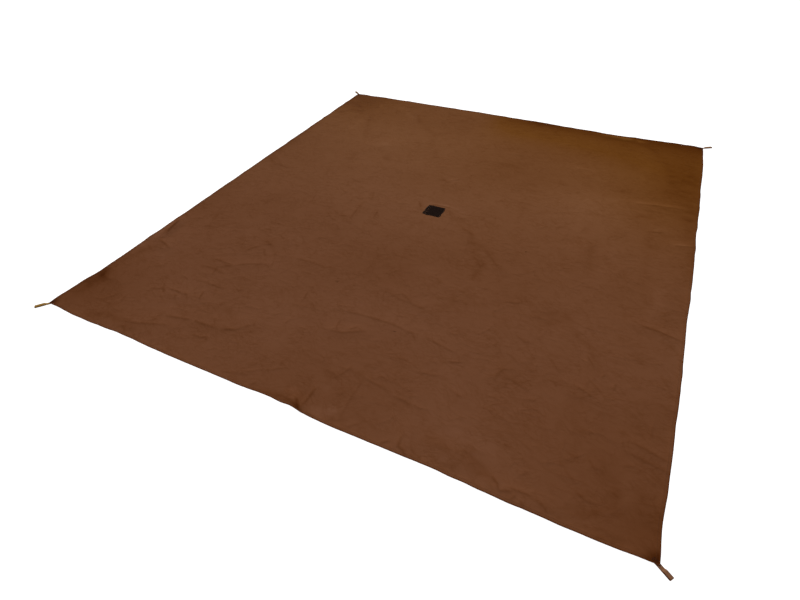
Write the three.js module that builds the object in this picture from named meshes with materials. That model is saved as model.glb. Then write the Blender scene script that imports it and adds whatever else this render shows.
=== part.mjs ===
// Tent groundsheet, spread out on level ground.
//
// One rectangular sheet of coated polyester with a folded hem lies flat, with an uneven outline
// and a few raised folds. A square reinforcing patch is sewn on its middle, and a webbing loop
// for a ground peg is sewn under each corner.
//
// Units are millimetres and +Z is up. The origin is on the ground under the middle of the sheet,
// +X runs to the right along the near edge and +Y runs from the near edge to the far edge.

import * as THREE from 'three';

// Driving dimensions

const SHEET = { width: 2780, length: 3053, thickness: 2, hemWidth: 16, hemRise: 0.8 };
const PATCH = { x: -6, y: 8, width: 116, length: 115, thickness: 1.2, calm: 12 };
const WEBBING = { width: 15, thickness: 1.2 };
const LOOP = { root: 28, neck: 8, pinch: 2, rise: 14, bend: 8.4, eye: 5, tipRadius: 3.7, roundSteps: 10 };
const CLEARANCE = 0.3;
const EDGE_EASE = 260;

// How far each edge bows out of (plus) or into (minus) the straight line between its corners.

const NEAR_EDGE = [
  { at: -1390, out: 4 },
  { at: -1150, out: 11 },
  { at: -890, out: 4 },
  { at: -580, out: 9 },
  { at: -300, out: 7 },
  { at: -60, out: 0 },
  { at: 30, out: 1 },
  { at: 105, out: 11 },
  { at: 210, out: 14 },
  { at: 440, out: 10 },
  { at: 630, out: 6 },
  { at: 940, out: 13 },
  { at: 1150, out: 12 },
  { at: 1300, out: 7 },
  { at: 1390, out: 4 },
];
const FAR_EDGE = [
  { at: -1390, out: 8 },
  { at: -1255, out: 18 },
  { at: -1020, out: 24 },
  { at: -600, out: 22 },
  { at: -100, out: 19 },
  { at: 200, out: 15 },
  { at: 440, out: 6 },
  { at: 640, out: 0 },
  { at: 760, out: -8 },
  { at: 850, out: -9 },
  { at: 950, out: 3 },
  { at: 1150, out: 13 },
  { at: 1260, out: 20 },
  { at: 1390, out: 6 },
];
const LEFT_EDGE = [
  { at: -1526, out: 4 },
  { at: -1440, out: 9 },
  { at: -1180, out: -9 },
  { at: -960, out: -3 },
  { at: -600, out: -2 },
  { at: -200, out: 2 },
  { at: 0, out: 6 },
  { at: 350, out: 6 },
  { at: 640, out: 9 },
  { at: 760, out: 12 },
  { at: 960, out: 12 },
  { at: 1150, out: 16 },
  { at: 1400, out: 17 },
  { at: 1526, out: 12 },
];
const RIGHT_EDGE = [
  { at: -1526, out: 0 },
  { at: -1400, out: -3 },
  { at: -1280, out: 3 },
  { at: -960, out: 7 },
  { at: -740, out: 12 },
  { at: -400, out: 9 },
  { at: -200, out: 15 },
  { at: 200, out: 16 },
  { at: 320, out: 13 },
  { at: 500, out: 16 },
  { at: 750, out: 17 },
  { at: 900, out: 13 },
  { at: 1170, out: 16 },
  { at: 1400, out: 9 },
  { at: 1526, out: 2 },
];

// Raised folds: each is a soft ridge along a line of points, rise high and reach wide on each side.

const FOLDS = [
  { name: 'left edge flap', rise: 13, reach: 62, line: [[-1352, -700], [-1318, -850]] },
  { name: 'left edge tail', rise: 6, reach: 62, line: [[-1300, -905], [-1170, -950]] },
  { name: 'left edge shelf', rise: 4.5, reach: 70, line: [[-1385, 470], [-1330, 530]] },
  { name: 'left edge slant', rise: 4.5, reach: 62, line: [[-1350, 240], [-1230, 120]] },
  { name: 'left corner fold', rise: 5, reach: 65, line: [[-1350, -1190], [-1230, -1290]] },
  { name: 'near edge pleat', rise: 13, reach: 60, line: [[102, -1526], [10, -1485]] },
  { name: 'near edge swell', rise: 4, reach: 70, line: [[600, -1450], [740, -1440]] },
  { name: 'near edge crumple', rise: 6, reach: 62, line: [[860, -1490], [1050, -1495]] },
  { name: 'near edge slant', rise: 4.5, reach: 62, line: [[500, -1430], [550, -1526]] },
  { name: 'near left sweep', rise: 4.5, reach: 70, line: [[-960, -1460], [-860, -1435], [-720, -1385]] },
  { name: 'near left chain', rise: 5, reach: 70, line: [[-800, -1345], [-490, -1290], [-370, -1210]] },
  { name: 'near left ridge', rise: 4, reach: 65, line: [[-930, -1195], [-760, -1215]] },
  { name: 'near left arch', rise: 4, reach: 70, line: [[-880, -910], [-750, -910], [-600, -830]] },
  { name: 'near left swell', rise: 3.5, reach: 80, line: [[-735, -700], [-610, -590]] },
  { name: 'near right ridge', rise: 6, reach: 62, line: [[-40, -1105], [20, -1098], [115, -1040]] },
  { name: 'near right sweep', rise: 4, reach: 70, line: [[60, -750], [360, -815]] },
  { name: 'near right bow', rise: 3.5, reach: 75, line: [[-50, -970], [200, -955], [530, -1000]] },
  { name: 'near right curve', rise: 4, reach: 62, line: [[720, -1060], [740, -1000], [790, -975]] },
  { name: 'near right slant', rise: 4.5, reach: 62, line: [[1020, -960], [1140, -1000]] },
  { name: 'near right fan', rise: 5, reach: 62, line: [[1225, -1130], [1392, -1165]] },
  { name: 'right edge fan', rise: 5.5, reach: 62, line: [[1190, -490], [1392, -530]] },
  { name: 'right edge bulge', rise: 4.5, reach: 80, line: [[1240, -220], [1320, -380]] },
  { name: 'right edge slant', rise: 5, reach: 62, line: [[1290, 210], [1392, 235]] },
  { name: 'right long ridge', rise: 5, reach: 66, line: [[1060, 570], [1320, 610]] },
  { name: 'middle slant', rise: 5, reach: 68, line: [[230, -110], [390, -220], [530, -375]] },
  { name: 'middle left fold', rise: 4, reach: 66, line: [[-450, 70], [-410, -60], [-430, -270]] },
  { name: 'middle sweep', rise: 3, reach: 70, line: [[-540, -720], [-250, -725]] },
  { name: 'middle right swell', rise: 3.5, reach: 80, line: [[870, 80], [880, -220]] },
  { name: 'far left hump', rise: 5, reach: 150, line: [[-800, 640], [-640, 740]] },
  { name: 'far left ridge', rise: 3.5, reach: 70, line: [[-1060, 1150], [-980, 940], [-890, 740]] },
  { name: 'far middle ridge', rise: 5, reach: 66, line: [[-730, 1330], [-630, 1180]] },
  { name: 'far right swell', rise: 4, reach: 80, line: [[640, 880], [770, 790]] },
  { name: 'far hem fold', rise: 13, reach: 56, line: [[700, 1497], [930, 1500]] },
];

// One row for each corner loop: which corner, where the webbing points and how far it reaches.

const CORNER_LOOPS = [
  { name: 'loop_near_left', side: -1, end: -1, heading: 231, reach: 64 },
  { name: 'loop_near_right', side: 1, end: -1, heading: -35, reach: 44 },
  { name: 'loop_far_right', side: 1, end: 1, heading: 31, reach: 64 },
  { name: 'loop_far_left', side: -1, end: 1, heading: 143, reach: 66 },
];
const CORNER_LIFT = { rise: 2 * WEBBING.thickness + CLEARANCE, full: 46, clear: 120 };

// Grid bands of the sheet, from one edge to the other: how far each reaches and its cells.

const EDGE_BANDS = [
  { depth: 2 * SHEET.hemWidth, cells: 2 },
  { depth: 150, cells: 3 },
];
const PATCH_BANDS = [
  { margin: 70, cells: 2 },
  { margin: PATCH.calm, cells: 2 },
];
const COLUMNS_EACH_SIDE = 17;
const ROWS_EACH_SIDE = 19;

const COLOURS = { cloth: 0x654028, patch: 0x161412, webbing: 0x7a5c34 };

// Small helpers

const smooth = (t) => {
  const s = Math.min(1, Math.max(0, t));
  return s * s * (3 - 2 * s);
};

function swayAt(table, place) {
  const last = table.length - 1;
  if (place <= table[0].at) return table[0].out;
  if (place >= table[last].at) return table[last].out;
  const next = table.findIndex((row) => row.at > place);
  const from = table[next - 1];
  const to = table[next];
  return from.out + (to.out - from.out) * smooth((place - from.at) / (to.at - from.at));
}

function distanceToLine(x, y, line) {
  const point = new THREE.Vector3(x, y, 0);
  const nearest = new THREE.Vector3();
  const stretch = new THREE.Line3();
  let distance = Infinity;
  for (let k = 1; k < line.length; k += 1) {
    stretch.start.set(line[k - 1][0], line[k - 1][1], 0);
    stretch.end.set(line[k][0], line[k][1], 0);
    stretch.closestPointToPoint(point, true, nearest);
    distance = Math.min(distance, nearest.distanceTo(point));
  }
  return distance;
}

// Height of the sheet's underside above the ground at a point of the flat cloth.

function foldRise(x, y) {
  let rise = 0;
  for (const fold of FOLDS) {
    const share = distanceToLine(x, y, fold.line) / fold.reach;
    if (share < 1) rise = Math.max(rise, fold.rise * Math.cos((share * Math.PI) / 2) ** 2);
  }
  return rise;
}

function cornerRise(x, y) {
  const fromCorner = Math.hypot(SHEET.width / 2 - Math.abs(x), SHEET.length / 2 - Math.abs(y));
  const { rise, full, clear } = CORNER_LIFT;
  return rise * smooth((clear - fromCorner) / (clear - full));
}

const undersideAt = (x, y) => Math.max(foldRise(x, y), cornerRise(x, y));

// The flat cloth's point, moved so that the edges follow their sway tables.

function swayed(x, y) {
  const nearness = (edgeDistance) => smooth(1 - edgeDistance / EDGE_EASE);
  const halfWidth = SHEET.width / 2;
  const halfLength = SHEET.length / 2;
  const right = swayAt(RIGHT_EDGE, y) * nearness(halfWidth - x);
  const left = swayAt(LEFT_EDGE, y) * nearness(halfWidth + x);
  const far = swayAt(FAR_EDGE, x) * nearness(halfLength - y);
  const near = swayAt(NEAR_EDGE, x) * nearness(halfLength + y);
  return [x + right - left, y + far - near];
}

// A closed solid over a grid of columns and rows. place gives a grid point's x, y, low and high.

function gridSolid(columns, rows, place) {
  const across = columns.length;
  const positions = [];
  const indices = [];
  for (const level of ['high', 'low']) {
    for (const y of rows) {
      for (const x of columns) {
        const spot = place(x, y);
        positions.push(spot.x, spot.y, spot[level]);
      }
    }
  }
  const low = across * rows.length;
  const quad = (a, b, c, d) => indices.push(a, b, c, a, c, d);
  for (let j = 0; j + 1 < rows.length; j += 1) {
    for (let i = 0; i + 1 < across; i += 1) {
      const a = j * across + i;
      const b = a + 1;
      const c = b + across;
      const d = a + across;
      quad(a, b, c, d);
      quad(low + a, low + d, low + c, low + b);
    }
  }
  const rim = [];
  for (let i = 0; i + 1 < across; i += 1) rim.push(i);
  for (let j = 0; j + 1 < rows.length; j += 1) rim.push(j * across + across - 1);
  for (let i = across - 1; i > 0; i -= 1) rim.push((rows.length - 1) * across + i);
  for (let j = rows.length - 1; j > 0; j -= 1) rim.push(j * across);
  rim.forEach((from, k) => {
    const to = rim[(k + 1) % rim.length];
    quad(from, low + from, low + to, to);
  });
  const geometry = new THREE.BufferGeometry();
  geometry.setAttribute('position', new THREE.Float32BufferAttribute(positions, 3));
  geometry.setIndex(indices);
  geometry.computeVertexNormals();
  return geometry;
}

// Grid lines along one side of the sheet, closer together at the hems and round the patch.

function gridLines(half, patchCentre, patchHalf, cellsEachSide) {
  const stops = [{ at: -half, cells: 0 }];
  for (const band of EDGE_BANDS) stops.push({ at: -half + band.depth, cells: band.cells });
  const [outer, inner] = PATCH_BANDS;
  stops.push({ at: patchCentre - patchHalf - outer.margin, cells: cellsEachSide });
  stops.push({ at: patchCentre - patchHalf - inner.margin, cells: outer.cells });
  stops.push({ at: patchCentre + patchHalf + inner.margin, cells: inner.cells });
  stops.push({ at: patchCentre + patchHalf + outer.margin, cells: outer.cells });
  const [hemBand, edgeBand] = EDGE_BANDS;
  stops.push({ at: half - edgeBand.depth, cells: cellsEachSide });
  stops.push({ at: half - hemBand.depth, cells: edgeBand.cells });
  stops.push({ at: half, cells: hemBand.cells });
  const lines = [-half];
  for (let k = 1; k < stops.length; k += 1) {
    const { at, cells } = stops[k];
    const from = stops[k - 1].at;
    for (let n = 1; n <= cells; n += 1) lines.push(from + ((at - from) * n) / cells);
  }
  return lines;
}

// The pieces

function groundsheetGeometry() {
  const halfWidth = SHEET.width / 2;
  const halfLength = SHEET.length / 2;
  const columns = gridLines(halfWidth, PATCH.x, PATCH.width / 2, COLUMNS_EACH_SIDE);
  const rows = gridLines(halfLength, PATCH.y, PATCH.length / 2, ROWS_EACH_SIDE);
  return gridSolid(columns, rows, (x, y) => {
    const fromEdge = Math.min(halfWidth - Math.abs(x), halfLength - Math.abs(y));
    const hem = SHEET.hemRise * Math.min(1, Math.max(0, 2 - fromEdge / SHEET.hemWidth));
    const [placedX, placedY] = swayed(x, y);
    const low = undersideAt(x, y);
    return { x: placedX, y: placedY, low, high: low + SHEET.thickness + hem };
  });
}

function patchGeometry() {
  const low = SHEET.thickness + CLEARANCE;
  const shape = new THREE.Shape();
  const [x, y] = [PATCH.width / 2, PATCH.length / 2];
  shape.setFromPoints([[-x, -y], [x, -y], [x, y], [-x, y]].map((p) => new THREE.Vector2(...p)));
  const geometry = new THREE.ExtrudeGeometry(shape, { depth: PATCH.thickness, bevelEnabled: false });
  geometry.translate(0, 0, low);
  return geometry;
}

// Side view of a loop: u runs out from the sheet's corner and w is the height. The two ends of the
// webbing lie on each other as far as the neck, and then part round the eye.

function loopGeometry(reach) {
  const { root, neck, pinch, rise, bend, eye, tipRadius, roundSteps } = LOOP;
  const web = WEBBING.thickness;
  const top = eye + 2 * web;
  const innerTop = eye + web;
  const eyeStart = neck + rise;
  const tipStart = reach - tipRadius;
  const outline = new THREE.Shape();
  outline.moveTo(-root, 0);
  outline.lineTo(tipStart, 0);
  outline.absellipse(tipStart, top / 2, tipRadius, top / 2, -Math.PI / 2, Math.PI / 2, false);
  outline.lineTo(eyeStart, top);
  outline.bezierCurveTo(eyeStart - bend, top, neck + bend, 2 * web, neck, 2 * web);
  outline.lineTo(-root, 2 * web);
  const hollow = new THREE.Path();
  hollow.moveTo(neck + pinch, web);
  hollow.bezierCurveTo(neck + bend, web, eyeStart - bend, innerTop, eyeStart, innerTop);
  hollow.lineTo(tipStart, innerTop);
  hollow.absellipse(tipStart, top / 2, tipRadius - web, eye / 2, Math.PI / 2, -Math.PI / 2, true);
  outline.holes.push(hollow);
  const geometry = new THREE.ExtrudeGeometry(outline, {
    depth: WEBBING.width,
    bevelEnabled: false,
    curveSegments: roundSteps,
  });
  geometry.translate(0, 0, -WEBBING.width / 2);
  geometry.rotateX(Math.PI / 2);
  return geometry;
}

// Materials and the finished group

const cloth = new THREE.MeshStandardMaterial({ color: COLOURS.cloth, roughness: 0.62, metalness: 0 });
const patchCloth = new THREE.MeshStandardMaterial({ color: COLOURS.patch, roughness: 0.8, metalness: 0 });
const webbing = new THREE.MeshStandardMaterial({ color: COLOURS.webbing, roughness: 0.75, metalness: 0 });

const groundsheet = new THREE.Group();

function addPiece(name, geometry, material) {
  const mesh = new THREE.Mesh(geometry, material);
  mesh.name = name;
  groundsheet.add(mesh);
  return mesh;
}

addPiece('groundsheet', groundsheetGeometry(), cloth);
addPiece('centre_patch', patchGeometry(), patchCloth).position.set(PATCH.x, PATCH.y, 0);
for (const row of CORNER_LOOPS) {
  const loop = addPiece(row.name, loopGeometry(row.reach), webbing);
  loop.position.set(...swayed((row.side * SHEET.width) / 2, (row.end * SHEET.length) / 2), 0);
  loop.rotation.z = THREE.MathUtils.degToRad(row.heading);
}

export default groundsheet;
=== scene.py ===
"""Looks of a tent groundsheet that lies spread out on the ground.

The sheet is thin coated cloth with raised folds, listed creases and fine crumpling, a stitched
hem, a square reinforcing patch on its middle and a webbing peg loop under each corner.
Tables of folds, creases and edges are in millimetres of the flat cloth, with the origin at its middle,
x to the right along the near edge and y away to the far edge. Everything else is in metres.
"""

import functools
import math

import bpy  # noqa: E402
import numpy as np  # noqa: E402
from mathutils import Matrix, Vector  # noqa: E402


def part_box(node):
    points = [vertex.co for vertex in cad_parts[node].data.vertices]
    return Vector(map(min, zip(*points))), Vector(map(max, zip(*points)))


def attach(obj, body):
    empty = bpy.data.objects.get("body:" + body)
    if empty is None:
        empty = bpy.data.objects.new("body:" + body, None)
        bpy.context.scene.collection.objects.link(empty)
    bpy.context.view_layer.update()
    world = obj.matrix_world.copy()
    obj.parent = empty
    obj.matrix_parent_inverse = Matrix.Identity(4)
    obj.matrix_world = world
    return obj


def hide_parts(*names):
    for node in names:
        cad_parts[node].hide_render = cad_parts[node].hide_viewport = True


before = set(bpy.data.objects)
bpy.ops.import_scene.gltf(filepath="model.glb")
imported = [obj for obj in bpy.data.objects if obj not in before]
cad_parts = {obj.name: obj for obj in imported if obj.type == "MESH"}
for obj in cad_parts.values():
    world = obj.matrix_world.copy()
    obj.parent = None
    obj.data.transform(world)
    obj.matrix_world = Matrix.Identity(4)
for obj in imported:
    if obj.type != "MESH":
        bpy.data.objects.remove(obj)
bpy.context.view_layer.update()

MM = 0.001

# Sheet

WIDTH = 2.780
LENGTH = 3.053
CLOTH = 0.7 * MM
GROUND_GAP = 0.15 * MM
HEM_WIDTH = 14 * MM
HEM_RISE = 0.5 * MM
HEM_SEAM = 12 * MM
HEM_STEP = 1.4 * MM
HEM_SEAM_DIP = 0.3 * MM
HEM_SEAM_HALF = 1.2 * MM
HEM_LINES = (0, 1.0, 2.6, 5, 8, 10.6, 12, 13.4, 14.6, 17, 20)
GRID_CELL = 4 * MM
SHEET_TRIANGLES = 192000
EDGE_EASE = 0.260
EDGE_WAVE = 1.3 * MM
EDGE_WAVE_PITCH = 0.055
EDGE_WAVE_REACH = 0.05
RESTING_LIFT = 1.5 * MM
RESTING_SOFTNESS = 0.35 * MM
RIM_ROUNDING = 0.35 * MM
RIM_REACH = 2.5 * MM
LOOSE_START = 0.015
LOOSE_REACH = 0.03
PATCH_CALM_REACH = 0.02

# Puckers along the edges: pitch and rise in mm, and seed.

PUCKERS = (
    (9, 0.35, 91),
    (60, 1.2, 92),
)

# How far from a corner of the sheet something is full and where it has gone: no crumpling, cloth
# lifted by the loop under it, edges without waves, and a darker tone.

CALM_CORNER = (0.03, 0.08)
LIFTED_CORNER = (0.046, 0.12)
STRAIGHT_CORNER = (0.03, 0.09)
DARK_CORNER = (0.015, 0.06)

# Creases: their power, share of the table's rise and width, darkness of the painted shade along a
# crease's line for each mm of rise, and width of the flanks towards and away from the light.

CREST_POWER = 1.4
CREASE_RISE = 0.55
CREASE_WIDTH = 0.55
CREASE_SHADE = 0.036
GENTLE_FLANK = 1.7
STEEP_FLANK = 0.8

# Patch

PATCH_LOW, PATCH_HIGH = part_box("centre_patch")
PATCH_MID = (PATCH_LOW + PATCH_HIGH) / 2
PATCH_HALF = (PATCH_HIGH - PATCH_LOW) / 2
PATCH_CENTRE = np.array((PATCH_MID.x, PATCH_MID.y))
PATCH_CELL = 2 * MM
PATCH_BORDER = 9 * MM
PATCH_THICK = 0.6 * MM
PATCH_BORDER_RISE = 0.3 * MM
PATCH_SEAMS = (4.6 * MM, 9.2 * MM)
PATCH_BITE = 2.0 * MM
PATCH_CORNER = 3.5 * MM
PATCH_GAP = 0.1 * MM
PATCH_SEAM_DIP = 0.28 * MM
PATCH_SEAM_HALF = 1.3 * MM
QUILT_RISE = 0.25 * MM
QUILT_PITCH = 7 * MM
BITE_PITCH = 0.011

# Webbing loops, as in the solids: how far each part lies from the sheet's corner

WEB_WIDTH = 15 * MM
WEB_THICK = 1.2 * MM
WEB_RIB = 1.5 * MM
WEB_SIDES = 22
WEB_SQUARENESS = 0.32
LOOP_ROOT = 28 * MM
LOOP_NECK = 8 * MM
LOOP_EYE_START = 22 * MM
LOOP_BEND = 8.4 * MM
LOOP_EYE = 5 * MM
LOOP_TIP = 3.7 * MM
LOOP_LIFT = 2 * WEB_THICK + 0.3 * MM

# Stitches; the corner box has its near side, far side and half width

STITCH_LENGTH = 3.3 * MM
STITCH_PITCH = 4.5 * MM
THREAD = 0.3 * MM
TACK_LENGTH = 4.2 * MM
TACK_THREAD = 0.75 * MM
CORNER_BOX = (11 * MM, 25 * MM, 5.5 * MM)
CORNER_TACK_LENGTH = 2.2 * MM
CORNER_TACK_PITCH = 2.4 * MM
CORNER_THREAD = 0.42 * MM

# Loose brown stitches on the patch: how far each row lies from its side, and the stitches' pitch in mm.

PATCH_TACKS = (
    ("left", 6, 13),
    ("left", 13, 17),
    ("left", 20, 15),
    ("left", 28, 24),
    ("right", 7, 22),
    ("near", 6, 19),
    ("far", 6, 30),
)

# Colours as the screen shows them, from 0 to 255

CLOTH_BROWN = (104, 66, 44)
CLOTH_DEEP_BROWN = (101, 60, 21)
CLOTH_RIM = (84, 44, 20)
PATCH_DARK = (18, 11, 9)
PATCH_LIGHT = (34, 24, 20)
THREADS = (
    ("hem_thread", (74, 44, 26)),
    ("patch_thread", (44, 30, 22)),
    ("coarse_thread", (124, 84, 58)),
    ("tack_thread", (24, 20, 20)),
)

# Shine of the cloth, and how much faster green and blue go dark than red

CLOTH_SHINE = 0.002
GREEN_POWER = 1.45
BLUE_POWER = 2.3

# Scales of the weaves, range of brightness of the mottling, and where the rim's colour ends

CLOTH_WEAVE = 420.0
PATCH_WEAVE = 260.0
MOTTLE_SHADE = (0.985, 1.015)
RIM_COLOUR_REACH = (2.5 * MM, 4.5 * MM)

# Loops: name, side and end of the sheet, heading in degrees, reach in mm, and the colours of the
# webbing's face and edges.

CORNER_LOOPS = (
    ("loop_near_left", -1, -1, 231, 64, ((150, 112, 38), (104, 66, 30))),
    ("loop_near_right", 1, -1, -35, 44, ((118, 80, 54), (92, 52, 30))),
    ("loop_far_right", 1, 1, 31, 64, ((136, 94, 54), (92, 54, 32))),
    ("loop_far_left", -1, 1, 143, 66, ((136, 98, 50), (86, 48, 24))),
)

# Stage, light and camera

FLOOR_HALF = 14.0
FLOOR_DROP = 0.1 * MM
SKY_STRENGTH = 0.55
SUN_ENERGY = 2.6
SUN_SPREAD = 22
SUN_DIRECTION = (0.6, -0.8, -0.62)
CAMERA_LENS = 22.379
CAMERA_PLACE = (0.987, -2.368, 1.600)
CAMERA_RIGHT = (0.89627, 0.44280, -0.02586)
CAMERA_UP = (-0.27876, 0.60755, 0.74373)

# How far each edge bows out of (plus) or into (minus) its straight line: place and bow in mm.

NEAR_EDGE = (
    (-1390, 4), (-1150, 11), (-890, 4), (-580, 9), (-300, 7), (-60, 0), (30, 1), (105, 11), (210, 14),
    (440, 10), (630, 6), (940, 13), (1150, 12), (1300, 7), (1390, 4),
)
FAR_EDGE = (
    (-1390, 8), (-1255, 18), (-1020, 24), (-600, 22), (-100, 19), (200, 15), (440, 6), (640, 0),
    (760, -8), (850, -9), (950, 3), (1150, 13), (1260, 20), (1390, 6),
)
LEFT_EDGE = (
    (-1526, 4), (-1440, 9), (-1180, -9), (-960, -3), (-600, -2), (-200, 2), (0, 6), (350, 6), (640, 9),
    (760, 12), (960, 12), (1150, 16), (1400, 17), (1526, 12),
)
RIGHT_EDGE = (
    (-1526, 0), (-1400, -3), (-1280, 3), (-960, 7), (-740, 12), (-400, 9), (-200, 15), (200, 16),
    (320, 13), (500, 16), (750, 17), (900, 13), (1170, 16), (1400, 9), (1526, 2),
)

# Raised folds, where the solid's lie: rise, reach, then x and y of each point.

FOLDS = (
    (10, 62, -1352, -700, -1318, -850),
    (4, 70, -1300, -905, -1170, -950),
    (3, 80, -1385, 470, -1330, 530),
    (3, 70, -1350, 240, -1230, 120),
    (4, 75, -1350, -1190, -1230, -1290),
    (11, 54, 102, -1526, 20, -1488),
    (2.5, 80, 600, -1450, 740, -1440),
    (4, 66, 860, -1490, 1050, -1495),
    (3, 64, 500, -1430, 550, -1526),
    (2.5, 80, -960, -1460, -860, -1435, -720, -1385),
    (2.5, 80, -800, -1345, -490, -1290, -370, -1210),
    (2, 75, -930, -1195, -760, -1215),
    (2, 80, -880, -910, -750, -910, -600, -830),
    (2, 90, -735, -700, -610, -590),
    (3, 66, -40, -1105, 20, -1098, 115, -1040),
    (2, 80, 60, -750, 360, -815),
    (2, 85, -50, -970, 200, -955, 530, -1000),
    (2, 70, 720, -1060, 740, -1000, 790, -975),
    (2.5, 70, 1020, -960, 1140, -1000),
    (3, 66, 1225, -1130, 1392, -1165),
    (3.5, 66, 1190, -490, 1392, -530),
    (3, 90, 1240, -220, 1320, -380),
    (3, 66, 1290, 210, 1392, 235),
    (3.5, 76, 1060, 570, 1320, 610),
    (3, 76, 230, -110, 390, -220, 530, -375),
    (2, 76, -450, 70, -410, -60, -430, -270),
    (1.5, 80, -540, -720, -250, -725),
    (2, 90, 870, 80, 880, -220),
    (3.5, 150, -800, 640, -640, 740),
    (2, 80, -1060, 1150, -980, 940, -890, 740),
    (3, 80, -730, 1330, -630, 1180),
    (2.5, 90, 640, 880, 770, 790),
    (9, 56, 700, 1484, 930, 1488),
)

# Listed creases: rise (a trough is negative), half width, then x and y of each point.

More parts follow.
